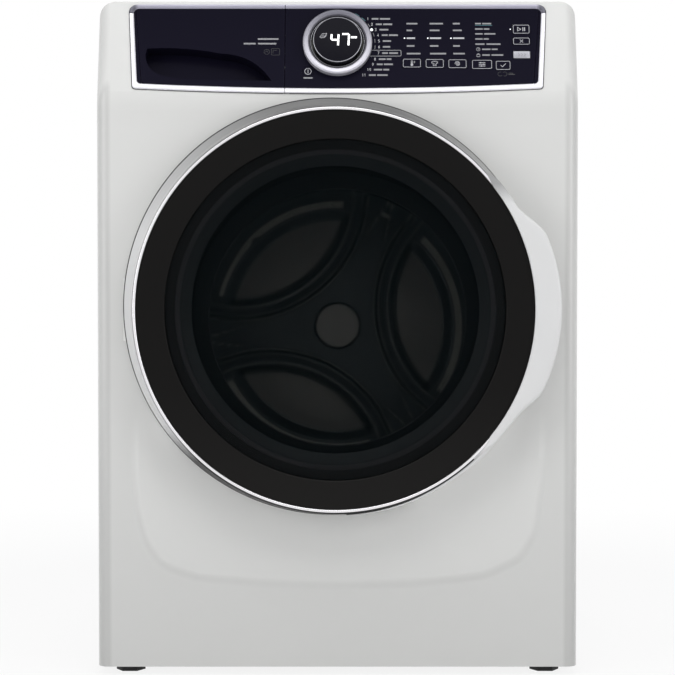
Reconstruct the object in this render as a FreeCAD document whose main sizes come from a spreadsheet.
import FreeCAD, Part
import math
import os
import re
import Sketcher

# Front load washing machine. Millimetres, +Z up, +Y to the rear, origin on the
# floor under the middle of the machine.

doc = FreeCAD.newDocument("front_load_washer")
V = FreeCAD.Vector

# ---------------------------------------------------------------- driving sizes
sizes = {
    # whole machine
    "overall_width": 686,
    "overall_depth": 813,
    "overall_height": 965,
    "floor_gap": 12,
    "sheet_steel": 1.2,
    "door_projection": 54.5,
    "inlet_projection": 18.5,
    "fit_gap": 0.3,
    "run_gap": 1,
    # front panel
    "panel_return": 60,
    "lean_angle": 18,
    "lean_drop": 145,
    "lean_bend": 90,
    "edge_round": 17,
    "corner_round": 24,
    "lid_height": 28,
    "wrapper_flange": 22,
    # console, in the leaning plane
    "trim_top": 147,
    "trim_low": 17.5,
    "trim_bow": 7.5,
    "trim_half_top": 296,
    "trim_half_low": 285.5,
    "trim_side": 6.4,
    "trim_proud": 3,
    "trim_depth": 9,
    "fascia_plate": 3,
    "fascia_proud": 1,
    "drawer_seam": 0.8,
    "drawer_edge": -75,
    "dial_height": 85.8,
    "dial_radius": 49.5,
    "dial_bore": 40,
    "dial_proud": 11,
    "disc_radius": 34.6,
    "disc_proud": 17,
    "key_gap": 0.5,
    "key_depth": 6,
    # drum and tub, along their own tilted axis
    "drum_tilt": 2.8,
    "axis_rise": 29.5,
    "mouth_radius": 188,
    "dish_radius": 214,
    "dish_depth": 16,
    "drum_room": 26,
    "drum_front": 62,
    "drum_shoulder": 96,
    "drum_behind": 180,
    "drum_sheet": 1.5,
    "drum_mouth": 207,
    "tub_room": 36,
    "tub_wall": 4,
    "tub_front": 50,
    "tub_rear_length": 278,
    "tub_behind": 48,
    "tub_mouth": 200,
    "shaft_radius": 14,
    "bearing_radius": 36,
    "pulley_radius": 150,
    "pulley_behind": 54,
    "belt_width": 14,
    "belt_thick": 3,
    "motor_pulley_radius": 12,
    "motor_shift": 150,
    "motor_radius": 60,
    "motor_length": 150,
    "lifter_height": 52,
    "lifter_width": 76,
    # door, about its own centre
    "door_shift": -3,
    "door_rise": 11,
    "door_radius": 297,
    "door_front_radius": 286.5,
    "door_back_gap": 2.5,
    "rim_shift": 2,
    "ring_radius": 286,
    "face_radius": 280,
    "pane_radius": 239,
    "pane_thick": 3,
    "bezel_depth": 20,
    "bowl_flange": 206,
    "bowl_mouth": 180,
    "bowl_end": 160,
    "bowl_reach": 95,
    "bowl_wall": 6,
    "flange_thick": 6,
    "inner_plate": 8,
    "handle_thick": 5,
    "handle_depth": 19,
    "handle_proud": 22,
    "hinge_inset": 4,
    "hinge_ahead": 16,
    "knuckle_radius": 5,
    "pin_radius": 2.5,
    "hinge_half": 44,
    # suspension, base and water parts
    "foot_radius": 21,
    "foot_inset": 48,
    "foot_pad": 10,
    "stem_radius": 5,
    "boss_half": 14,
    "stem_length": 42,
    "base_height": 30,
    "spring_inset": 62,
    "spring_radius": 14,
    "damper_inset": 117,
    "damper_radius": 13,
    "rod_radius": 8,
    "inlet_radius": 13.2,
    "inlet_drop": 105,
    "hose_radius": 11,
    "inlet_shift": 120,
    "inlet_spacing": 48,
    "drain_bend": 34,
    "drain_stand": 46,
    "collar_step": 1,
    "spigot_reach": 12,
    "service_half": 250,
    "service_low": 130,
    "service_drop": 165,
    "lid_wall": 2,
    "base_wall": 2.5,
    "foot_side": 43,
    "rib_inset": 232,
    "rib_step": 220,
    "spring_ahead": 40,
    "spring_step": 100,
    "brace_height": 24,
    "brace_width": 22,
    "tub_rim": 8,
    "hub_length": 38,
    "sump_place": 150,
    "sump_radius": 24,
    "weight_thick": 28,
    "weight_clear": 22,
    "weight_inset": 21,
    "star_height": 9,
    "star_inset": 19,
    "star_turn": 68,
    "lens_radius": 196,
    "lens_half": 40,
    "lens_inner": 78,
    "cap_radius": 39,
    "spider_thick": 26,
    "hub_radius": 42,
    "motor_shaft": 6,
    "lug_drop": 85,
    "lug_lift": 35,
    "lug_half": 10,
    "sleeve_spare": 20,
    "sleeve_wall": 4,
    "damper_ahead": 68,
    "damper_step": 150,
    "damper_length": 135,
    "rod_overlap": 55,
    "pump_radius": 30,
    "pump_height": 80,
    "pump_inset": 52,
    "pump_length": 110,
    "box_side": 54,
    "box_width": 206.5,
    "box_drop": 121.5,
    "box_inset": 52,
    "box_depth": 222,
    "box_height": 91,
    "box_wall": 2.5,
    "tray_gap": 3,
    "console_gap": 0.8,
    "tray_wall": 2.5,
    "tray_clear": 8,
    "valve_nose": 9,
    "valve_depth": 56,
    "board_depth": 26,
    "spout_drop": 17,
    "hose_inset": 202,
    "hose_shift": 150,
    "hose_bore": 14,
    "cell_first": -212,
    "cell_second": -148,
    "cover_length": 90,
    "grip_depth": 24,
    "board_low": 28,
    "board_high": 132,
    "board_left": 58,
    "board_right": 279,
    "key_travel": 1,
    "handle_bite": 7,
    "handle_tip_up": 40.5,
    "handle_tip_down": -37.5,
    "handle_corner": 24,
    "corner_proud": 13,
    "tip_bite": 2.5,
    "latch_shift": 228,
    "latch_half": 17,
    "latch_slot": 20,
    "lock_depth": 44,
    "lock_half": 36,
    "hook_thick": 5,
    "pivot_half": 5.5,
    "leaf_thick": 2.2,
    "leaf_reach": 62,
    "knuckle_split": 18,
    "bezel_drop": 3,
}

sheet = doc.addObject("Spreadsheet::Sheet", "Sizes")
for row, (alias, value) in enumerate(sizes.items(), start=1):
    sheet.set(f"A{row}", alias)
    sheet.set(f"B{row}", str(value))
    sheet.setAlias(f"B{row}", alias)
doc.recompute()

# places worked out from the driving sizes
front = "(door_projection - overall_depth / 2)"
rear = "(overall_depth / 2 - inlet_projection)"
half_width = "(overall_width / 2)"
lid_low = "(overall_height - lid_height)"
door_back = f"({front} - door_back_gap)"
door_face = "(0 - overall_depth / 2 + handle_thick)"
wrapper_front = f"({front} + panel_return)"

# sizes that follow the machine's width, depth and height at a named distance
places = {
    "body_depth": "overall_depth - door_projection - inlet_projection",
    "lean_start": "overall_height - lean_drop",
    "box_low": "overall_height - box_drop",
    "inlet_height": "overall_height - inlet_drop",
    "service_high": "overall_height - service_drop",
    "axis_height": "overall_height / 2 + axis_rise",
    "door_height": "axis_height + door_rise",
    "drum_back": "body_depth - drum_behind",
    "tub_back": "drum_back + tub_behind",
    "tub_joint": "tub_back - tub_rear_length",
    "pulley_place": "tub_back + pulley_behind",
    "tub_radius": "overall_width / 2 - tub_room",
    "drum_radius": "tub_radius - drum_room",
    "star_radius": "drum_radius - star_inset",
    "weight_outer": "tub_radius - weight_inset",
    "weight_inner": "tub_mouth + weight_clear",
    "spring_spread": "tub_radius - spring_inset",
    "damper_spread": "tub_radius - damper_inset",
    "lug_top": "tub_radius - lug_drop",
    "lug_low": "tub_radius - lug_lift",
    "spring_front": f"{front} + tub_joint - spring_ahead",
    "spring_rear": "spring_front + spring_step",
    "damper_front": f"{front} + tub_joint - damper_ahead",
    "damper_rear": "damper_front + damper_step",
    "rib_front": f"{front} + rib_inset",
    "rib_rear": "rib_front + rib_step",
    "pump_front": f"{front} + pump_inset",
    "box_front": f"{front} + box_inset",
    "hose_place": f"{front} + hose_inset",
    "box_left": f"box_side - {half_width}",
    "box_right": "box_left + box_width",
    "spout_top": "tub_radius - spout_drop",
    "handle_reach": "door_radius + handle_proud",
    "handle_inner": "door_radius - handle_bite",
    "handle_corner_radius": "door_radius + corner_proud",
    "handle_tip_radius": "door_radius - tip_bite",
}

words = re.compile(r"[a-z][a-z_0-9]*")


# ---------------------------------------------------------------- helpers
def bound(text):
    """the expression with each size named in its sheet"""
    def name(match):
        word = match[0]
        if word in places:
            return f"({bound(places[word])})"
        return f"Sizes.{word}" if word in sizes else word
    return words.sub(name, str(text))


def number(text):
    """the value of an expression"""
    value = sheet.evalExpression(bound(text))
    return float(getattr(value, "Value", value))


def polar(radius, angle):
    """two expressions for a point at a radius and an angle in degrees"""
    return f"({radius}) * cos({angle})", f"({radius}) * sin({angle})"


def tie(sketch, kind, where, text):
    """a dimension of the sketch bound to an expression"""
    place = sketch.addConstraint(Sketcher.Constraint(kind, *where, number(text)))
    sketch.setExpression(f"Constraints[{place}]", bound(text))


def outline(*points):
    """closed outline; a third item marks a point that an arc passes on its way to the next"""
    def draw(sketch):
        spots = [V(number(p[0]), number(p[1]), 0) for p in points]
        corners = [i for i, p in enumerate(points) if len(p) == 2]
        edges = []
        for this, following in zip(corners, corners[1:] + corners[:1]):
            start, end = spots[this], spots[following]
            bowed = (this + 1) % len(points) not in corners
            if bowed:
                via = this + 1
                edge = Part.Arc(start, spots[via], end)
            else:
                via = None
                edge = Part.LineSegment(start, end)
            index = sketch.addGeometry(edge, False)
            turned = (sketch.getPoint(index, 1) - start).Length > 1e-6
            edges.append((index, 2 if turned else 1, 1 if turned else 2, via))
        for (index, first, last, via), (after, start, _, _) in zip(edges, edges[1:] + edges[:1]):
            sketch.addConstraint(Sketcher.Constraint("Coincident", index, last, after, start))
        for (index, first, last, via), corner in zip(edges, corners):
            tie(sketch, "DistanceX", (-1, 1, index, first), points[corner][0])
            tie(sketch, "DistanceY", (-1, 1, index, first), points[corner][1])
            if via is not None:
                mark = sketch.addGeometry(Part.Point(spots[via]), True)
                sketch.addConstraint(Sketcher.Constraint("PointOnObject", mark, 1, index))
                tie(sketch, "DistanceX", (-1, 1, mark, 1), points[via][0])
                tie(sketch, "DistanceY", (-1, 1, mark, 1), points[via][1])
    return draw


def rectangle(left, low, right, high):
    return outline((left, low), (right, low), (right, high), (left, high))


def rounded(left, low, right, high, radius):
    """rectangle with round corners"""
    cut = f"({radius}) * (1 - sqrt(0.5))"
    l, b, r, t, c = (f"({item})" for item in (left, low, right, high, radius))
    return outline(
        (f"{l} + {c}", b), (f"{r} - {c}", b), (f"{r} - {cut}", f"{b} + {cut}", "arc"),
        (r, f"{b} + {c}"), (r, f"{t} - {c}"), (f"{r} - {cut}", f"{t} - {cut}", "arc"),
        (f"{r} - {c}", t), (f"{l} + {c}", t), (f"{l} + {cut}", f"{t} - {cut}", "arc"),
        (l, f"{t} - {c}"), (l, f"{b} + {c}"), (f"{l} + {cut}", f"{b} + {cut}", "arc"))


def disc(across, up, radius):
    def draw(sketch):
        centre = V(number(across), number(up), 0)
        index = sketch.addGeometry(Part.Circle(centre, V(0, 0, 1), number(radius)), False)
        tie(sketch, "DistanceX", (-1, 1, index, 3), across)
        tie(sketch, "DistanceY", (-1, 1, index, 3), up)
        tie(sketch, "Radius", (index,), radius)
    return draw


def octagon(across, up, radius):
    """eight-sided outline round a circle"""
    corners = [polar(f"({radius}) / cos(22.5)", f"{45 * i + 22.5}") for i in range(8)]
    return outline(*[(f"{across} + {x}", f"{up} + {y}") for x, y in corners])


# a plane's role and the sign of its normal along the axis it faces
planes = {"front": ("XZ_Plane", -1), "top": ("XY_Plane", 1), "side": ("YZ_Plane", 1)}
pieces = []


def piece(name):
    body = doc.addObject("PartDesign::Body", name)
    body.Label = name
    pieces.append(body)
    return body


def origin_item(body, role):
    return next(item for item in body.Origin.OriginFeatures if item.Role == role)


def sketch_on(body, plane, level, shapes):
    role, sign = planes[plane]
    sketch = body.newObject("Sketcher::SketchObject", f"{body.Label}_outline")
    sketch.AttachmentSupport = [(origin_item(body, role), "")]
    sketch.MapMode = "FlatFace"
    if level is not None:
        sketch.setExpression("AttachmentOffset.Base.z", bound(f"{sign} * ({level})"))
    for draw in shapes:
        draw(sketch)
    return sketch


def feature(body, kind, sketch):
    item = body.newObject(f"PartDesign::{kind}", f"{body.Label}_{kind.lower()}")
    item.Profile = sketch
    sketch.Visibility = False
    body.Tip = item
    return item


def pad(body, plane, low, high, *shapes, taper=None):
    """material between two levels of the plane's axis"""
    start = high if plane == "front" else low
    item = feature(body, "Pad", sketch_on(body, plane, start, shapes))
    item.setExpression("Length", bound(f"({high}) - ({low})"))
    if taper is not None:
        item.setExpression("TaperAngle", bound(taper))
    return item


def pocket(body, plane, low, high, *shapes):
    """a cut between two levels of the plane's axis"""
    start = low if plane == "front" else high
    item = feature(body, "Pocket", sketch_on(body, plane, start, shapes))
    item.setExpression("Length", bound(f"({high}) - ({low})"))
    return item


def turn(body, *points, angle=360, cut=False):
    """a profile of (place along the axis, radius) points turned about the front-to-rear axis"""
    sketch = sketch_on(body, "side", None, [outline(*points)])
    item = feature(body, "Groove" if cut else "Revolution", sketch)
    item.ReferenceAxis = (sketch, ["H_Axis"])
    item.Angle = angle
    item.Midplane = angle != 360
    return item


def ring_of(body, features, count, role="Y_Axis"):
    item = body.newObject("PartDesign::PolarPattern", f"{body.Label}_ring")
    item.Originals = features
    item.Axis = (origin_item(body, role), [""])
    item.Angle = 360
    item.Occurrences = count
    body.Tip = item
    return item


def mirrored(body, features, role="YZ_Plane"):
    item = body.newObject("PartDesign::Mirrored", f"{body.Label}_mirror")
    item.Originals = features
    item.MirrorPlane = (origin_item(body, role), [""])
    body.Tip = item
    return item


def soften(body, radius, test):
    """fillet of the edges that pass the test"""
    doc.recompute()
    base = body.Tip
    names = [f"Edge{i}" for i, edge in enumerate(base.Shape.Edges, start=1) if test(edge)]
    item = body.newObject("PartDesign::Fillet", f"{body.Label}_fillet")
    item.Base = (base, names)
    item.setExpression("Radius", bound(radius))
    body.Tip = item
    return item


def place(item, across="0", along="0", up="0", lean=None):
    """the piece's own place, with its tilt about the left-to-right axis"""
    if lean is not None:
        item.Placement = FreeCAD.Placement(V(), FreeCAD.Rotation(V(1, 0, 0), -1))
        item.setExpression("Placement.Rotation.Angle", bound(f"0 - {lean}"))
    for axis, text in zip("xyz", (across, along, up)):
        item.setExpression(f"Placement.Base.{axis}", bound(text))


def on_drum_axis(item):
    place(item, "0", front, "axis_height", lean="drum_tilt")


def on_console(item):
    place(item, "0", front, "lean_start", lean="lean_angle")


def on_door(item):
    place(item, "door_shift", "0", "door_height")


def joined(name, kind, *parts):
    """one piece made of others by a boolean"""
    item = doc.addObject(f"Part::{kind}", name)
    if kind == "MultiFuse":
        item.Shapes = list(parts)
    else:
        item.Base, item.Tool = parts
    for part in parts:
        if part in pieces:
            pieces.remove(part)
        part.Label = f"{name}_{part.Name}_stock"
    item.Label = name
    pieces.append(item)
    return item


# ---------------------------------------------------------------- cabinet
def front_form(name, inset):
    """outer or inner form of the front panel: upright, then leaning back at the console"""
    stock = piece(name)
    low = f"floor_gap + {inset}"
    high = f"overall_height - {inset}"
    face = f"{front} + {inset}"
    back = f"{wrapper_front} + {inset}"
    bend = "lean_bend * tan(lean_angle / 2)"
    start = "lean_start"
    upper = f"{face} + (overall_height - {inset} - {start}) * tan(lean_angle)"
    middle = (f"{face} + lean_bend * (1 - cos(lean_angle / 2))",
              f"{start} - {bend} + lean_bend * sin(lean_angle / 2)")
    pad(stock, "side", f"{inset} - {half_width}", f"{half_width} - {inset}",
        outline((face, low), (back, low), (back, high), (upper, high),
                (f"{face} + {bend} * sin(lean_angle)", f"{start} + {bend} * cos(lean_angle)"),
                (*middle, "arc"), (face, f"{start} - {bend}")))
    limit = number(f"{half_width} - {inset}") - 0.01

    def front_side(edge):
        box = edge.BoundBox
        return min(abs(box.XMin), abs(box.XMax)) > limit and box.YMax < number(back) - 0.01 \
            and box.ZLength > 5
    soften(stock, f"edge_round - {inset}", front_side)
    side = f"{half_width} - {inset}"
    round_size = f"(corner_round - {inset})"
    bite = f"({round_size} * (1 - sqrt(0.5)))"
    corner = pocket(stock, "front", f"{front} - 5", f"{back} + 5",
                    outline((side, f"{high} - {round_size}"),
                            (f"{side} - {bite}", f"{high} - {bite}", "arc"),
                            (f"{side} - {round_size}", high),
                            (f"{side} - {round_size}", f"{high} + 5"),
                            (f"{side} + 5", f"{high} + 5"), (f"{side} + 5", f"{high} - {round_size}")))
    mirrored(stock, [corner])
    return stock


outer = front_form("front_outer", "0")
inner = front_form("front_inner", "sheet_steel")
panel_shell = joined("front_shell", "Cut", outer, inner)

dish = piece("front_dish")
sheet_back = f"{front} + sheet_steel"
turn(dish, (front, "dish_radius"), (f"{front} + dish_depth", "mouth_radius"),
     (f"{front} + dish_depth + sheet_steel", "mouth_radius"), (sheet_back, "dish_radius"))
place(dish, "0", "0", "axis_height")

dish_void = piece("front_dish_void")
pad(dish_void, "front", f"{front} - 5", f"{front} + 10", disc("0", "0", "dish_radius"))
place(dish_void, "0", "0", "axis_height")


def console_edge(spread, side_inset="0", low_inset="0", top_inset="0"):
    """trapezium with a bowed lower edge, in the console plane"""
    low = f"trim_half_low + {spread} - ({side_inset})"
    high = f"trim_half_top + {spread} - ({side_inset})"
    return outline((f"0 - ({low})", f"trim_low - {spread} + ({low_inset})"),
                   ("0", f"trim_low - trim_bow - {spread} + ({low_inset})", "arc"),
                   (low, f"trim_low - {spread} + ({low_inset})"),
                   (high, f"trim_top + {spread} - ({top_inset})"),
                   (f"0 - ({high})", f"trim_top + {spread} - ({top_inset})"))


latch_void = piece("latch_void")
pad(latch_void, "front", f"{front} - 5", f"{front} + 5",
    rectangle("latch_shift - latch_slot / 2", "door_height - latch_half", "latch_shift + latch_slot / 2",
              "door_height + latch_half"))

stem_holes = []
for side in (1, -1):
    stem_hole = piece(f"stem_hole_{len(stem_holes) + 1}")
    pad(stem_hole, "top", "floor_gap - 1", "floor_gap + sheet_steel + 1",
        disc(f"{side} * ({half_width} - foot_side)", f"{front} + foot_inset", "stem_radius + 2"))
    stem_holes.append(stem_hole)

console_void = piece("console_void")
pad(console_void, "front", "0 - 30", "30", console_edge("console_gap"))
on_console(console_void)

with_void = joined("front_open", "Cut", panel_shell, dish_void)
with_dish = joined("front_dished", "MultiFuse", with_void, dish)
with_console = joined("front_console", "Cut", with_dish, console_void)
with_latch = joined("front_latched", "Cut", with_console, latch_void)
with_stem = joined("front_stemmed", "Cut", with_latch, stem_holes[0])
front_panel = joined("front_panel", "Cut", with_stem, stem_holes[1])

cabinet_shell = piece("cabinet_shell")
side_in = f"({half_width} - sheet_steel)"
hose_side = f"({side_in} - hose_radius - 34)"
flange_in = f"({half_width} - wrapper_flange)"
shell_front = f"({wrapper_front} + fit_gap)"
pad(cabinet_shell, "top", "floor_gap", f"{lid_low} - fit_gap",
    outline((f"0 - {half_width}", shell_front), (f"0 - {flange_in}", shell_front),
            (f"0 - {flange_in}", f"{shell_front} + sheet_steel"),
            (f"0 - {side_in}", f"{shell_front} + sheet_steel"),
            (f"0 - {side_in}", f"{rear} - sheet_steel"), (side_in, f"{rear} - sheet_steel"),
            (side_in, f"{shell_front} + sheet_steel"), (flange_in, f"{shell_front} + sheet_steel"),
            (flange_in, shell_front), (half_width, shell_front), (half_width, rear),
            (f"0 - {half_width}", rear)))
pocket(cabinet_shell, "top", "floor_gap - 1", "floor_gap + base_height + run_gap",
       rectangle(f"0 - {side_in}", f"{shell_front} - 1", side_in, f"{shell_front} + 4"))
pocket(cabinet_shell, "front", f"{rear} - 5", f"{rear} + 5",
       rounded("0 - service_half", "service_low", "service_half", "service_high", "40"))
pocket(cabinet_shell, "front", f"{rear} - 5", f"{rear} + 5",
       disc("0 - inlet_shift", "inlet_height", "inlet_radius + 2"),
       disc("0 - inlet_shift - inlet_spacing", "inlet_height", "inlet_radius + 2"),
       disc(hose_side, "inlet_height", "hose_radius + collar_step + fit_gap"))

back_panel = piece("back_panel")
pad(back_panel, "front", f"{rear} - 2 * sheet_steel", f"{rear} - sheet_steel",
    rounded("0 - service_half - 18", "service_low - 18", "service_half + 18", "service_high + 18", "50"))
pad(back_panel, "front", f"{rear} - sheet_steel", rear,
    rounded("60 - service_half", "service_low + 60", "service_half - 60", "service_high - 60", "90"))

top_panel = piece("top_panel")


def lid_outline(inset, low):
    side = f"({half_width} - {inset})"
    high = f"(overall_height - {inset})"
    size = f"(corner_round - {inset})"
    bite = f"{size} * (1 - sqrt(0.5))"
    return outline((f"0 - {side}", low), (side, low), (side, f"{high} - {size}"),
                   (f"{side} - {bite}", f"{high} - {bite}", "arc"), (f"{side} - {size}", high),
                   (f"{size} - {side}", high), (f"{bite} - {side}", f"{high} - {bite}", "arc"),
                   (f"0 - {side}", f"{high} - {size}"))


pad(top_panel, "front", shell_front, rear, lid_outline("0", lid_low))
pocket(top_panel, "front", f"{shell_front} - 1", f"{rear} - lid_wall", lid_outline("lid_wall", f"{lid_low} - 1"))

base_frame = piece("base_frame")
base_side = f"({half_width} - sheet_steel - fit_gap)"
base_front = f"({front} + sheet_steel + fit_gap)"
base_rear = f"({rear} - sheet_steel - fit_gap)"
base_low = "(floor_gap + sheet_steel)"
base_top = "(floor_gap + base_height)"
pad(base_frame, "top", base_low, base_top,
    rounded(f"0 - {base_side}", base_front, base_side, base_rear, "edge_round"))
pocket(base_frame, "top", f"{base_low} + base_wall", f"{base_top} + 1",
       rounded(f"base_wall - {base_side}", f"{base_front} + base_wall", f"{base_side} - base_wall",
               f"{base_rear} - base_wall", "edge_round - base_wall"))
foot_across = f"({half_width} - foot_side)"
foot_places = {
    "front_left": (f"0 - {foot_across}", f"{front} + foot_inset"),
    "front_right": (foot_across, f"{front} + foot_inset"),
    "rear_left": (f"0 - {foot_across}", f"{rear} - foot_inset"),
    "rear_right": (foot_across, f"{rear} - foot_inset"),
}
pad(base_frame, "top", f"{base_low} + base_wall - 0.5", base_top,
    *[rectangle(f"{x} - boss_half", f"{y} - boss_half", f"{x} + boss_half", f"{y} + boss_half")
      for x, y in foot_places.values()])
for along in ("rib_front", "rib_rear"):
    pad(base_frame, "top", f"{base_low} + base_wall - 0.5", f"{base_top}",
        rectangle(f"1 - {base_side}", f"{along} - base_wall / 2", f"{base_side} - 1",
                  f"{along} + base_wall / 2"))
for x, y in foot_places.values():
    pocket(base_frame, "top", "0", f"{base_top} + 1", disc(x, y, "stem_radius + fit_gap"))

feet = {}
for corner, (x, y) in foot_places.items():
    foot = piece(f"foot_{corner}")
    pad(foot, "top", "0", "foot_pad", outline(*[polar("foot_radius", f"{60 * i}") for i in range(6)]))
    pad(foot, "top", "foot_pad - 1", "stem_length", outline(*[polar("stem_radius", f"{45 * i}") for i in range(8)]))
    place(foot, x, y, "0")
    feet[corner] = foot

top_brace = piece("top_brace")
brace_top = f"({lid_low} - fit_gap)"
for along in ("spring_front", "spring_rear"):
    pad(top_brace, "top", f"{brace_top} - brace_height", brace_top,
        rectangle(f"fit_gap - {side_in}", f"{along} - brace_width / 2", f"{side_in} - fit_gap",
                  f"{along} + brace_width / 2"))
for sign in ("", "0 - "):
    pad(top_brace, "top", f"{brace_top} - brace_height", brace_top,
        rectangle(*((f"{side_in} - brace_width", f"{shell_front} + 3", f"{side_in} - fit_gap",
                     f"{rear} - sheet_steel - fit_gap") if sign == "" else
                    (f"fit_gap - {side_in}", f"{shell_front} + 3", f"brace_width - {side_in}",
                     f"{rear} - sheet_steel - fit_gap"))))

# ---------------------------------------------------------------- tub, drum and drive
# these lie along the drum's axis: its front end is the plane of the front panel
tub_front = piece("tub_front")
tub_in = "(tub_radius - tub_wall)"
turn(tub_front, ("tub_front", "tub_mouth"), ("tub_front", "tub_radius"), ("tub_joint", "tub_radius"),
     ("tub_joint", tub_in), ("tub_front + tub_wall", tub_in), ("tub_front + tub_wall", "tub_mouth"))
pad(tub_front, "top", "0 - tub_radius - 24", "6 - tub_radius",
                disc("0", "sump_place", "sump_radius"))
pocket(tub_front, "top", "0 - tub_radius - 30", "0 - tub_radius + 20",
       disc("0", "sump_place", "sump_radius - 3"))
on_drum_axis(tub_front)

tub_rear = piece("tub_rear")
turn(tub_rear, ("tub_joint + fit_gap", tub_in), ("tub_joint + fit_gap", "tub_radius + 10"),
     ("tub_joint + tub_rim", "tub_radius + 10"), ("tub_joint + tub_rim", "tub_radius"),
     ("tub_back", "tub_radius"), ("tub_back", "bearing_radius + 16"),
     ("tub_back + hub_length", "bearing_radius + 16"), ("tub_back + hub_length", "bearing_radius"),
     ("tub_back - tub_wall", "bearing_radius"), ("tub_back - tub_wall", tub_in))
rib_inner = "bearing_radius + 14"
rib = pad(tub_rear, "front", "tub_back - 0.5", "tub_back + 12",
          rectangle("0 - 2.5", rib_inner, "2.5", "tub_radius - 4"))
ring_of(tub_rear, [rib], 9)
on_drum_axis(tub_rear)

counterweight_upper = piece("counterweight_upper")
counterweight_lower = piece("counterweight_lower")
for weight, sign in ((counterweight_upper, "1"), (counterweight_lower, "-1")):
    turn(weight, ("tub_front - weight_thick", f"{sign} * weight_inner"),
         ("tub_front - weight_thick", f"{sign} * weight_outer"),
         ("tub_front - fit_gap", f"{sign} * weight_outer"),
         ("tub_front - fit_gap", f"{sign} * weight_inner"), angle=126)
    on_drum_axis(weight)
counterweights = joined("counterweights", "MultiFuse", counterweight_upper, counterweight_lower)

bearings = piece("bearings")
bearing_start = "(tub_back - tub_wall + 1)"
bearing_end = "(tub_back + hub_length - run_gap)"
turn(bearings, (bearing_start, "shaft_radius + fit_gap"), (bearing_start, "bearing_radius"),
     (bearing_end, "bearing_radius"), (bearing_end, "shaft_radius + fit_gap"))
on_drum_axis(bearings)

drum_shell = piece("drum_shell")
drum_in = "(drum_radius - drum_sheet)"
turn(drum_shell, ("drum_front", "drum_mouth"), ("drum_front", "drum_radius"),
     ("drum_back", "drum_radius"), ("drum_back", "0"), ("drum_back - drum_sheet", "0"),
     ("drum_back - drum_sheet", drum_in), ("drum_front + drum_sheet", drum_in),
     ("drum_front + drum_sheet", "drum_mouth"))
pad(drum_shell, "front", "drum_back - star_height", "drum_back - 0.5", disc("0", "0", "star_radius"))
panel_tip = polar("lens_radius", "star_turn + 60 - lens_half")
panel_end = polar("lens_radius", "star_turn + 60 + lens_half")
lens = pocket(drum_shell, "front", "drum_back - star_height - 5", "drum_back - drum_sheet - 0.5",
              outline(panel_tip, (*polar("lens_radius + 12", "star_turn + 60"), "arc"), panel_end,
                      (*polar("lens_inner", "star_turn + 60"), "arc")))
ring_of(drum_shell, [lens], 3)
pad(drum_shell, "front", "drum_back - star_height - 5", "drum_back - star_height + 0.5",
          disc("0", "0", "cap_radius"))
on_drum_axis(drum_shell)

lifter_parts = []
lifter_seat = f"({drum_in} - 0.4)"
for index in range(3):
    lifter = piece(f"lifter_{index + 1}")
    seat_level = f"sqrt({lifter_seat}^2 - (lifter_width / 2)^2)"
    pad(lifter, "front", "drum_shoulder + 14", "drum_back - star_height - fit_gap",
        outline(("0 - lifter_width / 2", seat_level), ("0 - lifter_width / 2 + 8", f"{seat_level} - 12"),
                ("0 - 12", f"{drum_in} - lifter_height"),
                ("0", f"{drum_in} - lifter_height - 4", "arc"),
                ("12", f"{drum_in} - lifter_height"),
                ("lifter_width / 2 - 8", f"{seat_level} - 12"), ("lifter_width / 2", seat_level)))
    nose = pocket(lifter, "side", "0 - lifter_width", "lifter_width",
                  outline(("drum_shoulder", f"{drum_in} - 16"), ("drum_shoulder + 80", "drum_radius / 2"),
                          ("drum_shoulder", "drum_radius / 2")))
    turned = FreeCAD.Placement(V(), FreeCAD.Rotation(V(0, 1, 0), -1))
    lifter.Placement = turned
    lifter.setExpression("Placement.Rotation.Angle", bound(f"90 - star_turn - {index * 120}"))
    lifter_parts.append(lifter)
drum_lifters = joined("drum_lifters", "MultiFuse", *lifter_parts)
on_drum_axis(drum_lifters)

drum_spider = piece("drum_spider")
spider_front = "(drum_back + fit_gap)"
shaft_end = "(pulley_place + belt_width / 2 + 10)"
turn(drum_spider, (spider_front, "0"), (spider_front, "hub_radius"),
     (f"{spider_front} + spider_thick", "hub_radius"), ("tub_back - tub_wall - 2", "shaft_radius + 4"),
     ("tub_back - tub_wall - 2", "shaft_radius"), (shaft_end, "shaft_radius"), (shaft_end, "0"))
arm = pad(drum_spider, "front", spider_front, f"{spider_front} + spider_thick - 6",
          outline(polar("hub_radius - 4", "star_turn - 36"), polar("drum_radius - 4", "star_turn - 4"),
                  polar("drum_radius - 4", "star_turn + 4"), polar("hub_radius - 4", "star_turn + 36")))
ring_of(drum_spider, [arm], 3)
on_drum_axis(drum_spider)

drum_pulley = piece("drum_pulley")
pulley_low = "(pulley_place - belt_width / 2 - 2)"
pulley_high = "(pulley_place + belt_width / 2 + 2)"
pad(drum_pulley, "front", pulley_low, pulley_high, disc("0", "0", "pulley_radius"),
    disc("0", "0", "pulley_radius - 5"))
spoke = pad(drum_pulley, "front", "pulley_place - 4", "pulley_place + 4",
            outline(("0 - 16", "shaft_radius + 8"), ("16", "shaft_radius + 8"),
                    ("9", "pulley_radius - 4.5"), ("0 - 9", "pulley_radius - 4.5")))
ring_of(drum_pulley, [spoke], 5)
pad(drum_pulley, "front", "pulley_place - 6", "pulley_place + 6", disc("0", "0", "shaft_radius + 14"))
pocket(drum_pulley, "front", "pulley_place - 10", "pulley_place + 10",
       disc("0", "0", "shaft_radius + fit_gap"))
on_drum_axis(drum_pulley)

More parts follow.
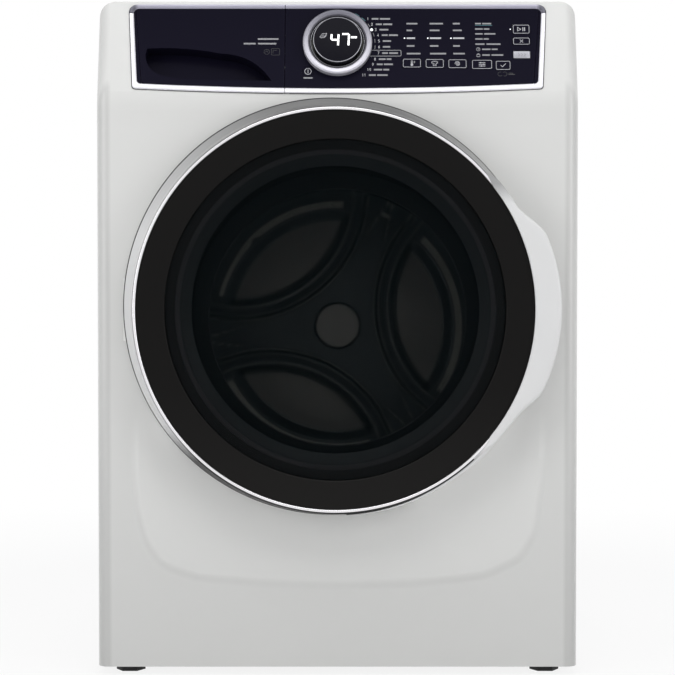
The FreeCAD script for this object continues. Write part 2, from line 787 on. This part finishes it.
motor_drop = "sqrt((tub_radius + motor_radius + fit_gap)^2 - motor_shift^2)"
motor = piece("motor")
motor_back = "(pulley_place - 30)"
turn(motor, (f"{motor_back} - motor_length", "0"), (f"{motor_back} - motor_length", "motor_radius"),
     (motor_back, "motor_radius"),
     (motor_back, "motor_shaft + fit_gap"),
     (f"{motor_back} - 12", "motor_shaft + fit_gap"), (f"{motor_back} - 12", "0"))
motor_pulley = piece("motor_pulley")
turn(motor_pulley, (f"{motor_back} - 11", "0"), (f"{motor_back} - 11", "motor_shaft"),
     ("pulley_place - belt_width / 2 - 2", "motor_shaft"),
     ("pulley_place - belt_width / 2 - 2", "motor_pulley_radius"),
     ("pulley_place + belt_width / 2 + 2", "motor_pulley_radius"),
     ("pulley_place + belt_width / 2 + 2", "0"))


def on_motor_axis(item):
    """the motor's axis lies below the drum's own, parallel to it"""
    place(item, "motor_shift", f"{front} - {motor_drop} * sin(drum_tilt)",
          f"axis_height - {motor_drop} * cos(drum_tilt)", lean="drum_tilt")


on_motor_axis(motor)
on_motor_axis(motor_pulley)

drive_belt = piece("drive_belt")
span = f"sqrt(motor_shift^2 + ({motor_drop})^2)"
heading = f"(atan2(0 - {motor_drop}; motor_shift) / (1 deg))"


def belt_loop(lift):
    """the belt's face at a height above both pulleys, with its two tangent runs"""
    large = f"(pulley_radius + fit_gap + {lift})"
    small = f"(motor_pulley_radius + fit_gap + {lift})"
    lay = f"(acos((pulley_radius - motor_pulley_radius) / ({span})) / (1 deg))"

    def low(angle):
        x, z = polar(small, angle)
        return f"motor_shift + {x}", f"{z} - {motor_drop}"
    return outline(polar(large, f"{heading} + {lay}"), (*polar(large, f"{heading} + 180"), "arc"),
                   polar(large, f"{heading} - {lay}"), low(f"{heading} - {lay}"),
                   (*low(heading), "arc"), low(f"{heading} + {lay}"))


pad(drive_belt, "front", "pulley_place - belt_width / 2", "pulley_place + belt_width / 2",
    belt_loop("belt_thick"), belt_loop("0"))
on_drum_axis(drive_belt)

# ---------------------------------------------------------------- suspension
def tub_lug(body, level, along, sign):
    """square lug on both flanks of a tub half, over a spring or a damper"""
    spread = "spring_spread" if sign > 0 else "damper_spread"
    height = "lug_top" if sign > 0 else "(0 - lug_low)"
    middle = f"({along} - {front} - {height} * sin(drum_tilt)) / cos(drum_tilt)"
    low, high = (level, height) if sign > 0 else (height, level)
    lug = pad(body, "top", low, high, rectangle(f"{spread} - lug_half", f"{middle} - lug_half",
                                                f"{spread} + lug_half", f"{middle} + lug_half"))
    mirrored(body, [lug])


upper_root = f"(sqrt({tub_in}^2 - (spring_spread - lug_half)^2) + 1)"
lower_root = f"(0 - sqrt({tub_in}^2 - (damper_spread - lug_half)^2) - 1)"
tub_lug(tub_front, upper_root, "spring_front", 1)
tub_lug(tub_rear, upper_root, "spring_rear", 1)
tub_lug(tub_front, lower_root, "damper_front", -1)
tub_lug(tub_rear, lower_root, "damper_rear", -1)


def lug_height(along, height):
    """world height of a lug's end over or under a place along the machine"""
    middle = f"(({along} - {front} - ({height}) * sin(drum_tilt)) / cos(drum_tilt))"
    return f"(axis_height - {middle} * sin(drum_tilt) + ({height}) * cos(drum_tilt))"


tilt_rise = "lug_half * sin(drum_tilt) + fit_gap"
springs, cylinders, rods = [], [], []
base_floor = f"({base_low} + base_wall)"
for side, sign in (("left", "0 - "), ("right", "")):
    for end in ("front", "rear"):
        spring = piece(f"spring_{end}_{side}")
        pad(spring, "top", f"{lug_height(f'spring_{end}', 'lug_top')} + {tilt_rise}",
            f"{brace_top} - brace_height - fit_gap", disc("0", "0", "spring_radius"))
        place(spring, f"{sign}spring_spread", f"spring_{end}", "0")
        springs.append(spring)
        cylinder = piece(f"cylinder_{end}_{side}")
        pad(cylinder, "top", base_floor, f"{base_floor} + damper_length", octagon("0", "0", "damper_radius"))
        pocket(cylinder, "top", f"{base_floor} + 10", f"{base_floor} + damper_length + 1",
               disc("0", "0", "rod_radius + fit_gap"))
        place(cylinder, f"{sign}damper_spread", f"damper_{end}", "0")
        cylinders.append(cylinder)
        rod = piece(f"rod_{end}_{side}")
        pad(rod, "top", f"{base_floor} + damper_length - rod_overlap",
            f"{lug_height(f'damper_{end}', '0 - lug_low')} - {tilt_rise} - fit_gap",
            disc("0", "0", "rod_radius"))
        place(rod, f"{sign}damper_spread", f"damper_{end}", "0")
        rods.append(rod)
suspension_springs = joined("suspension_springs", "MultiFuse", *springs)
damper_cylinders = joined("damper_cylinders", "MultiFuse", *cylinders)
damper_rods = joined("damper_rods", "MultiFuse", *rods)

# ---------------------------------------------------------------- water parts
door_gasket = piece("door_gasket")
bowl_draft = "((bowl_mouth - bowl_end) / bowl_reach)"
gasket_seat = "(dish_depth + sheet_steel + fit_gap)"
gasket_front = f"({front} + {gasket_seat})"
lip_radius = f"(bowl_mouth - {gasket_seat} * {bowl_draft} + 2 * fit_gap)"
sleeve_radius = "(tub_mouth + 7)"
tub_slope = "tan(drum_tilt)"
tub_place = f"({front} + (tub_front - fit_gap) / cos(drum_tilt))"
turn(door_gasket, (gasket_front, lip_radius), (gasket_front, sleeve_radius),
     (f"{gasket_front} + sleeve_wall", sleeve_radius), (f"{gasket_front} + sleeve_wall", lip_radius))
pad(door_gasket, "front", f"{gasket_front} + sleeve_wall / 2", f"{tub_place} + sleeve_spare",
             disc("0", "0", sleeve_radius), disc("0", "0", f"{sleeve_radius} - sleeve_wall"))
pocket(door_gasket, "side", f"0 - {sleeve_radius} - 5", f"{sleeve_radius} + 5",
       outline((f"{tub_place} - {sleeve_radius} * {tub_slope}", f"0 - {sleeve_radius}"),
               (f"{tub_place} + 2 * sleeve_spare", f"0 - {sleeve_radius}"),
               (f"{tub_place} + 2 * sleeve_spare", sleeve_radius),
               (f"{tub_place} + {sleeve_radius} * {tub_slope}", sleeve_radius)))
place(door_gasket, "0", "0", "axis_height")

drain_pump = piece("drain_pump")
sump_drop = "(tub_radius + 24)"
sump_along = f"({front} + sump_place * cos(drum_tilt) - {sump_drop} * sin(drum_tilt))"
sump_up = f"(axis_height - sump_place * sin(drum_tilt) - {sump_drop} * cos(drum_tilt))"
pump_top = "(pump_height + pump_radius + 6)"
turn(drain_pump, ("pump_front", "0"), ("pump_front", "pump_radius"),
     ("pump_front + pump_length", "pump_radius"), ("pump_front + pump_length", "0"))
pad(drain_pump, "top", "0", "pump_radius + 6", octagon("0", sump_along, "sump_radius - 4"))
pad(drain_pump, "top", f"{base_floor} - pump_height", "0 - pump_radius / 2",
    rectangle("0 - pump_radius + 4", "pump_front + 10", "pump_radius - 4",
              "pump_front + pump_length - 10"))
pad(drain_pump, "side", "pump_radius / 2", "pump_radius + 34", octagon(sump_along, "0", "pump_radius - 8"))
place(drain_pump, "0", "0", "pump_height")

sump_hose = piece("sump_hose")
pad(sump_hose, "top", f"{pump_top} + fit_gap", f"{sump_up} - sump_radius * sin(drum_tilt) - fit_gap",
    octagon("0", sump_along, "sump_radius"), octagon("0", sump_along, "sump_radius - 4"))

dispenser_housing = piece("dispenser_housing")
pad(dispenser_housing, "top", "box_low", "box_low + box_height",
    rectangle("box_left", "box_front", "box_right", "box_front + box_depth"))
pocket(dispenser_housing, "front", "box_front - 1", "box_front + box_depth - box_wall",
       rectangle("box_left + box_wall", "box_low + box_wall", "box_right - box_wall",
                 "box_low + box_height - box_wall"))
pad(dispenser_housing, "top", "box_low + box_height - 16", "box_low + box_height",
    rectangle("0 - 200", "box_front + box_depth - 1", "0 - 120",
              "spring_front - brace_width / 2 - fit_gap"))

spout_along = f"((hose_place - {front} - spout_top * sin(drum_tilt)) / cos(drum_tilt))"
pad(tub_front, "top", f"sqrt({tub_in}^2 - hose_shift^2) + 4", "spout_top",
    disc("0 - hose_shift", spout_along, "hose_bore + 2"))
dispenser_hose = piece("dispenser_hose")
spout_rise = f"(axis_height - {spout_along} * sin(drum_tilt) + spout_top * cos(drum_tilt))"
pad(dispenser_hose, "top", f"{spout_rise} + (hose_bore + 2) * sin(drum_tilt) + fit_gap",
    "box_low - fit_gap", octagon("0 - hose_shift", "hose_place", "hose_bore + 2"),
    octagon("0 - hose_shift", "hose_place", "hose_bore - 2"))

water_valves = piece("water_valves")
inlet_middle = "(0 - inlet_shift - inlet_spacing / 2)"
pad(water_valves, "front", f"{rear} - sheet_steel - 3", f"{rear} - sheet_steel",
    rectangle(f"{inlet_middle} - 46", "inlet_height - 22", f"{inlet_middle} + 46", "inlet_height + 22"))
for shift in ("(0 - inlet_shift)", "(0 - inlet_shift - inlet_spacing)"):
    pad(water_valves, "front", f"{rear} - 4", "overall_depth / 2",
        disc(shift, "inlet_height", "inlet_radius"))
    pad(water_valves, "front", f"{rear} - valve_depth", f"{rear} - 4",
        rectangle(f"{shift} - 18", "inlet_height - 16", f"{shift} + 18", "inlet_height + 28"))
    pad(water_valves, "front", f"{rear} - valve_depth - 16", f"{rear} - valve_depth + 0.5",
        octagon(shift, "inlet_height", "valve_nose"))


def hose(name, radius, bend, *route):
    """a solid hose of straight runs joined by tangent arcs, along (x, y, z) expressions"""
    spots = [V(*(number(item) for item in point)) for point in route]
    size = number(bend)
    edges = []
    begin = spots[0]
    for before, corner, after in zip(spots, spots[1:], spots[2:]):
        back = (before - corner).normalize()
        ahead = (after - corner).normalize()
        half = back.getAngle(ahead) / 2
        reach = size / math.tan(half)
        enter = corner + back * reach
        leave = corner + ahead * reach
        bisector = (back + ahead).normalize()
        middle = corner + bisector * (size / math.sin(half) - size)
        edges.append(Part.LineSegment(begin, enter).toShape())
        edges.append(Part.Arc(enter, middle, leave).toShape())
        begin = leave
    edges.append(Part.LineSegment(begin, spots[-1]).toShape())
    way = Part.Wire(edges)
    along = (spots[1] - spots[0]).normalize()
    side = along.cross(V(0, 0, 1)).normalize()
    high = along.cross(side)
    reach = number(radius) / math.cos(math.pi / 8)
    turns = [math.pi * (i + 0.5) / 4 for i in range(8)]
    corners = [spots[0] + (side * math.cos(turn) + high * math.sin(turn)) * reach for turn in turns]
    ring = Part.makePolygon(corners + corners[:1])
    item = doc.addObject("Part::Feature", name)
    item.Label = name
    item.Shape = way.makePipeShell([ring], True, False)
    pieces.append(item)
    return item


valve_front = f"({rear} - valve_depth - 16 - fit_gap)"
box_back = "(box_front + box_depth + fit_gap)"
inlet_level = "inlet_height"
valve_hoses = [
    hose(f"valve_hose_{word}", "valve_nose", "30", (across, valve_front, inlet_level),
         (across, box_back, inlet_level))
    for word, across in (("hot", "0 - inlet_shift"), ("cold", "0 - inlet_shift - inlet_spacing"))]
drain_hose = hose("drain_hose", "hose_radius", "drain_bend",
                  ("pump_radius + 34 + fit_gap", sump_along, "pump_height"),
                  (hose_side, sump_along, "pump_height"), (hose_side, f"{rear} - drain_stand", "pump_height"),
                  (hose_side, f"{rear} - drain_stand", "inlet_height"), (hose_side, f"{rear} - 8", "inlet_height"))
drain_spigot = piece("drain_spigot")
pad(drain_spigot, "front", f"{rear} - 10", f"{rear} + fit_gap",
    disc(hose_side, "inlet_height", "hose_radius + collar_step"))
pad(drain_spigot, "front", f"{rear} - 10", f"{rear} + spigot_reach", disc(hose_side, "inlet_height", "hose_radius"))
fixed_hoses = joined("fixed_hoses", "MultiFuse", *valve_hoses, drain_hose, drain_spigot)

# ---------------------------------------------------------------- console and drawer
# these lie in the console's leaning plane: its lower edge is the height where the panel leans
trim_outer = console_edge("0")
trim_inner = console_edge("0", "trim_side", "trim_side + 1.5", "trim_side - 0.4")
fascia_outer = console_edge("0", "trim_side + fit_gap", "trim_side + 1.5 + fit_gap", "trim_side + fit_gap")
far = "(overall_width)"
for name, keep_left in (("console_trim", False), ("drawer_trim", True)):
    trim = piece(name)
    pad(trim, "front", "0 - trim_proud", "trim_depth", trim_outer, trim_inner)
    cut = ("drawer_edge - drawer_seam / 2", far) if keep_left else (f"0 - {far}", "drawer_edge + drawer_seam / 2")
    pocket(trim, "front", "0 - 20", "trim_depth + 20", rectangle(cut[0], "0 - 50", cut[1], "trim_top + 50"))
    on_console(trim)

# centre, size and corner of each key, and the switch it is named after
keys = {
    "key_power": ("-42", "43.5", "16", "16", "7.9"),
    "key_temp": ("106", "56.5", "27", "14.6", "2"),
    "key_soil": ("138.5", "56", "27", "14.6", "2"),
    "key_spin": ("171", "55.5", "27", "14.6", "2"),
    "key_options": ("206", "54.5", "29", "14.6", "2"),
    "key_select": ("236", "53", "21", "14.6", "2"),
    "key_start": ("263", "109", "25", "15", "2"),
    "key_cancel": ("263", "90.5", "25", "12", "2"),
    "key_boost": ("263", "69.5", "25", "12", "2"),
}


def key_outline(key, spread):
    across, up, width, height, corner = keys[key]
    if key == "key_power":
        return disc(across, up, f"{width} / 2 + {spread}")
    left, right = (f"({across} {sign} ({width} / 2 + {spread}))" for sign in "-+")
    low, high = (f"({up} {sign} ({height} / 2 + {spread}))" for sign in "-+")
    return outline((f"{left} + {corner}", low), (f"{right} - {corner}", low), (right, f"{low} + {corner}"),
                   (right, f"{high} - {corner}"), (f"{right} - {corner}", high),
                   (f"{left} + {corner}", high), (left, f"{high} - {corner}"), (left, f"{low} + {corner}"))


face = "(0 - fascia_proud)"
control_fascia = piece("control_fascia")
pad(control_fascia, "front", face, f"{face} + fascia_plate", fascia_outer)
pocket(control_fascia, "front", f"{face} - 1", f"{face} + fascia_plate + 1",
       rectangle(f"0 - {far}", "0 - 50", "drawer_edge + drawer_seam / 2", "trim_top + 50"))
pocket(control_fascia, "front", f"{face} - 1", f"{face} + fascia_plate + 1",
       disc("0", "dial_height", "dial_bore + key_gap"))
for key in keys:
    pocket(control_fascia, "front", f"{face} - 1", f"{face} + fascia_plate + 1", key_outline(key, "key_gap"))
on_console(control_fascia)

board_front = f"({face} + fascia_plate + key_depth)"
control_board = piece("control_board")
pad(control_board, "front", board_front, f"{board_front} + board_depth",
    rectangle("0 - board_left", "board_low", "board_right", "board_high"))
pad(control_board, "front", f"{face} + fascia_plate", f"{board_front} + 1",
    rectangle("board_right - 2.4", "board_low + 32", "board_right", "board_high - 4"),
    rectangle("dial_radius + 8", "board_low + 60", "dial_radius + 14", "board_high - 4"))
on_console(control_board)

for key, (across, up, width, height, corner) in keys.items():
    button = piece(key)
    pad(button, "front", f"{face} - fit_gap", f"{board_front} - key_travel - fit_gap", key_outline(key, "0"))
    on_console(button)

dial_ring = piece("dial_ring")
turn(dial_ring, (f"{face} - fit_gap", "dial_radius"), (f"{face} - dial_proud", "dial_radius"),
     (f"{face} - dial_proud", "dial_bore - 2.5"), (f"{board_front} - fit_gap", "dial_bore - 2.5"),
     (f"{board_front} - fit_gap", "dial_bore"), (f"{face} - fit_gap", "dial_bore"))
display_lens = piece("display_lens")
pad(display_lens, "front", f"{face} - disc_proud", board_front, disc("0", "0", "disc_radius"))
for item in (dial_ring, display_lens):
    place(item, "0", f"{front} + dial_height * sin(lean_angle)",
          "lean_start + dial_height * cos(lean_angle)", lean="lean_angle")

drawer_front = piece("drawer_front")
pad(drawer_front, "front", face, f"{face} + fascia_plate", fascia_outer)
grip = outline(("-274", "70"), ("-267", "49", "arc"), ("-248", "37"), ("-219", "31.5"), ("-94", "29.5"),
               ("-118", "56", "arc"), ("-165", "71"), ("-215", "78.5", "arc"), ("-272", "79"))
pad(drawer_front, "front", f"{face} + 1", f"{face} + fascia_plate + grip_depth",
    rectangle("0 - 278", "27", "0 - 88", "85"))
pocket(drawer_front, "front", f"{face} - 1", f"{face} + grip_depth", grip)
pocket(drawer_front, "front", f"{face} - 1", f"{face} + fascia_plate + grip_depth + 1",
       rectangle("drawer_edge - drawer_seam / 2", "0 - 50", far, "trim_top + 50"))
on_console(drawer_front)

drawer_tray = piece("drawer_tray")
tray_low = "(box_low + box_wall + fit_gap)"
tray_high = "(box_low + box_height - box_wall - tray_clear)"
tray_left = "(box_left + box_wall + tray_gap)"
tray_right = "(box_right - box_wall - tray_gap)"
tray_back = "(box_front + box_depth - box_wall - tray_gap)"
grip_back = f"({face} + fascia_plate + grip_depth + fit_gap)"


def lean_along(height, depth):
    """place along the machine of a depth behind the leaning plane, at a world height"""
    return f"({front} + ({height} - lean_start) * tan(lean_angle) + ({depth}) / cos(lean_angle))"


pad(drawer_tray, "side", tray_left, tray_right,
    outline((lean_along(tray_low, grip_back), tray_low), (tray_back, tray_low), (tray_back, tray_high),
            (lean_along(tray_high, grip_back), tray_high)))
cells = ((f"{tray_left} + tray_wall", "cell_first - tray_wall / 2"),
         ("cell_first + tray_wall / 2", "cell_second - tray_wall / 2"),
         ("cell_second + tray_wall / 2", f"{tray_right} - tray_wall"))
cell_front = f"({lean_along(tray_high, grip_back)} + tray_wall)"
for low, high in cells:
    pocket(drawer_tray, "top", f"{tray_low} + tray_wall", f"{tray_high} + 1",
           rectangle(low, cell_front, high, f"{tray_back} - tray_wall"))

siphon_cover = piece("siphon_cover")
pad(siphon_cover, "top", tray_high, f"{tray_high} + tray_wall",
    rectangle(tray_left, cell_front, "cell_first", f"{cell_front} + cover_length"))
pad(siphon_cover, "top", f"{tray_high} - 12", f"{tray_high} + 1",
    rectangle(f"{tray_left} + tray_wall + fit_gap", f"{cell_front} + fit_gap",
              "cell_first - tray_wall / 2 - fit_gap", f"{cell_front} + cover_length - 4"))

# ---------------------------------------------------------------- door
# these lie about the door's own centre line, seen along the machine
door_frame = piece("door_frame")
frame_back = sketch_on(door_frame, "front", door_back, [disc("0 - rim_shift", "rim_shift", "door_radius")])
frame_front = sketch_on(door_frame, "front", door_face, [disc("0", "0", "door_front_radius")])
frame_loft = door_frame.newObject("PartDesign::AdditiveLoft", "door_frame_rim")
frame_loft.Profile = frame_back
frame_loft.Sections = [frame_front]
frame_loft.Ruled = True
door_frame.Tip = frame_loft
pocket(door_frame, "front", f"{door_face} - 5", f"{door_back} + 5", disc("0", "0", "face_radius + fit_gap"))
hinge_low = "(0 - hinge_half - 2)"
hinge_high = "(hinge_half + 2)"
hinge_across = "(hinge_inset - door_radius - rim_shift)"
hinge_along = f"({door_back} - hinge_ahead)"
pocket(door_frame, "front", f"{hinge_along} - knuckle_radius - run_gap", f"{door_back} + 5",
       rectangle("0 - door_radius - 10", hinge_low, "0 - door_radius + 45", hinge_high))
on_door(door_frame)

door_chrome_ring = piece("door_chrome_ring")
turn(door_chrome_ring, (f"{door_face} - 1.5", "ring_radius"), (f"{door_face} - fit_gap", "ring_radius"),
     (f"{door_face} - fit_gap", "face_radius + fit_gap"), (f"{door_face} - 1.5", "face_radius + fit_gap"))
on_door(door_chrome_ring)

door_bezel = piece("door_bezel")
pane_seat = f"({door_face} + bezel_drop + pane_thick)"
bezel_back = f"({door_face} + bezel_depth)"
turn(door_bezel, (f"{door_face} - fit_gap", "face_radius"), (f"{door_face} - fit_gap", "pane_radius"),
     (bezel_back, "pane_radius"), (bezel_back, "face_radius"))
on_door(door_bezel)

door_lens = piece("door_lens")
pad(door_lens, "front", f"{door_face} + bezel_drop", pane_seat, disc("0", "0", "pane_radius - fit_gap"))
on_door(door_lens)

door_inner_frame = piece("door_inner_frame")
plate_front = f"({door_back} - inner_plate)"
pad(door_inner_frame, "front", plate_front, door_back, disc("0", "0", "face_radius"))
leaf_back = f"({hinge_along} + knuckle_radius)"
leaf_front = f"({leaf_back} - leaf_thick)"
leaf_end = f"({hinge_across} + leaf_reach)"
pad(door_inner_frame, "front", f"{leaf_front} - 10", door_back,
    rectangle(f"0 - sqrt((face_radius - fit_gap)^2 - ({hinge_high} + 4)^2)", f"{hinge_low} - 4",
              f"{leaf_end} + 10", f"{hinge_high} + 4"))
pocket(door_inner_frame, "front", f"{leaf_front} - fit_gap", f"{door_back} + 5",
       rectangle("0 - door_radius", hinge_low, f"{leaf_end} + 6", hinge_high))
drop = "(axis_height - door_height)"
pocket(door_inner_frame, "front", f"{plate_front} - 30", f"{door_back} + 5",
       disc("0 - door_shift", drop, "bowl_mouth + 3"))
latch_across = "(latch_shift - door_shift)"
pocket(door_inner_frame, "front", f"{plate_front} - 5", f"{door_back} + 5",
       rectangle(f"{latch_across} - pivot_half - fit_gap", "0 - latch_half / 2",
                 f"{latch_across} + pivot_half + fit_gap", "latch_half / 2"))
on_door(door_inner_frame)

door_bowl = piece("door_bowl")
flange_back = f"({plate_front} - fit_gap)"
flange_front = f"({flange_back} - flange_thick)"
bowl_back = f"({front} + bowl_reach)"


def bowl_radius(place_along):
    """outer radius of the bowl's wall at a place along the machine"""
    return f"(bowl_mouth - ({place_along} - {front}) * {bowl_draft})"


pad(door_bowl, "front", flange_front, flange_back, disc("0", "0", "bowl_flange"))
bowl_start = sketch_on(door_bowl, "front", f"{flange_back} - 0.5", [disc("0", "0", bowl_radius(flange_back))])
bowl_finish = sketch_on(door_bowl, "front", bowl_back, [disc("0", "0", "bowl_end")])
bowl_wall = door_bowl.newObject("PartDesign::AdditiveLoft", "bowl_outside")
bowl_wall.Profile = bowl_start
bowl_wall.Sections = [bowl_finish]
bowl_wall.Ruled = True
door_bowl.Tip = bowl_wall
hollow_start = sketch_on(door_bowl, "front", f"{flange_front} - 1",
                         [disc("0", "0", f"{bowl_radius(flange_front)} - bowl_wall")])
hollow_finish = sketch_on(door_bowl, "front", f"{bowl_back} - bowl_wall", [disc("0", "0", "bowl_end - bowl_wall")])
bowl_hollow = door_bowl.newObject("PartDesign::SubtractiveLoft", "bowl_inside")
bowl_hollow.Profile = hollow_start
bowl_hollow.Sections = [hollow_finish]
bowl_hollow.Ruled = True
door_bowl.Tip = bowl_hollow
place(door_bowl, "0", "0", "axis_height")

door_handle = piece("door_handle")


def crescent(inner):
    """handle outline from an inner radius to the outer edge with its two flared corners"""
    return outline(polar(inner, "handle_tip_up"), (*polar(inner, "0"), "arc"),
                   polar(inner, "handle_tip_down"), polar("handle_tip_radius", "handle_tip_down"),
                   (*polar("handle_tip_radius + 4", "0 - handle_corner - 5"), "arc"),
                   polar("handle_corner_radius", "0 - handle_corner"),
                   (*polar("handle_reach", "1"), "arc"), polar("handle_corner_radius", "handle_corner"),
                   (*polar("handle_tip_radius + 4", "handle_corner + 6"), "arc"),
                   polar("handle_tip_radius", "handle_tip_up"))


handle_under = f"({door_face} - 1.5 - fit_gap)"
pad(door_handle, "front", "0 - overall_depth / 2", handle_under, crescent("face_radius + 1"))
pad(door_handle, "front", f"{handle_under} - 1", f"{door_face} + handle_depth - handle_thick",
    crescent("handle_inner"))
on_door(door_handle)

hinge_leaf = piece("hinge_leaf")
for low, high in (("knuckle_split", "hinge_half"), ("0 - hinge_half", "0 - knuckle_split")):
    pad(hinge_leaf, "top", low, high, disc(hinge_across, hinge_along, "knuckle_radius"))
pad(hinge_leaf, "top", "0 - hinge_half", "hinge_half",
    rectangle(f"{hinge_across} + knuckle_radius + 1", leaf_front, leaf_end, leaf_back))
for low, high in (("knuckle_split", "hinge_half"), ("0 - hinge_half", "0 - knuckle_split")):
    pad(hinge_leaf, "top", low, high,
        rectangle(hinge_across, leaf_front, f"{hinge_across} + knuckle_radius + 2", leaf_back))
pocket(hinge_leaf, "top", "0 - hinge_half - 1", "hinge_half + 1",
       disc(hinge_across, hinge_along, "pin_radius + fit_gap"))
on_door(hinge_leaf)

door_hinge = piece("door_hinge")
arm_half = "(knuckle_split - fit_gap)"
pad(door_hinge, "top", f"0 - {arm_half}", arm_half, disc(hinge_across, hinge_along, "knuckle_radius"))
pad(door_hinge, "top", f"0 - {arm_half}", arm_half,
    rectangle(f"{hinge_across} - 3", hinge_along, f"{hinge_across} + 2", front))
pad(door_hinge, "front", f"{front} - leaf_thick", front,
    rectangle(f"{hinge_across} - 3", "0 - hinge_half + 4", f"{leaf_end}", "hinge_half - 4"))
pad(door_hinge, "top", "0 - hinge_half - 1", "hinge_half + 1", disc(hinge_across, hinge_along, "pin_radius"))
on_door(door_hinge)

latch_hook = piece("latch_hook")
hook_along = f"({door_back} - inner_plate / 2)"
pad(latch_hook, "side", f"{latch_across} - hook_thick / 2", f"{latch_across} + hook_thick / 2",
    outline((f"{hook_along} - 4", "0 - 4"), (f"{front} + 24", "0 - 4"), (f"{front} + 24", "3"),
            (f"{front} + 15", "10"), (f"{front} + 15", "3"), (f"{hook_along} - 4", "4")))
pad(latch_hook, "side", f"{latch_across} - pivot_half", f"{latch_across} + pivot_half",
    disc(hook_along, "0", "pin_radius"))
on_door(latch_hook)

door_lock = piece("door_lock")
lock_front = f"({front} + sheet_steel)"
lock_left = f"({latch_across} - latch_slot / 2 - 2)"
pad(door_lock, "front", lock_front, f"{lock_front} + lock_depth",
    rectangle(lock_left, "0 - lock_half", f"{lock_left} + 44", "lock_half"))
pocket(door_lock, "front", f"{lock_front} - 1", f"{lock_front} + lock_depth - 10",
       rectangle(f"{latch_across} - latch_slot / 2", "0 - latch_half", f"{latch_across} + latch_slot / 2",
                 "latch_half"))
on_door(door_lock)

# ---------------------------------------------------------------- checks and files
doc.recompute()
faults = [item.Name for item in doc.Objects if {"Invalid", "Error"} & set(item.State)]
for item in pieces:
    if item.Shape.isNull() or not item.Shape.isValid():
        faults.append(item.Label)
if faults:
    raise SystemExit(f"failed: {faults}")
os.makedirs("parts", exist_ok=True)
for item in pieces:
    item.Shape.exportStep(f"parts/{item.Label}.step")
print(len(pieces), "pieces written")
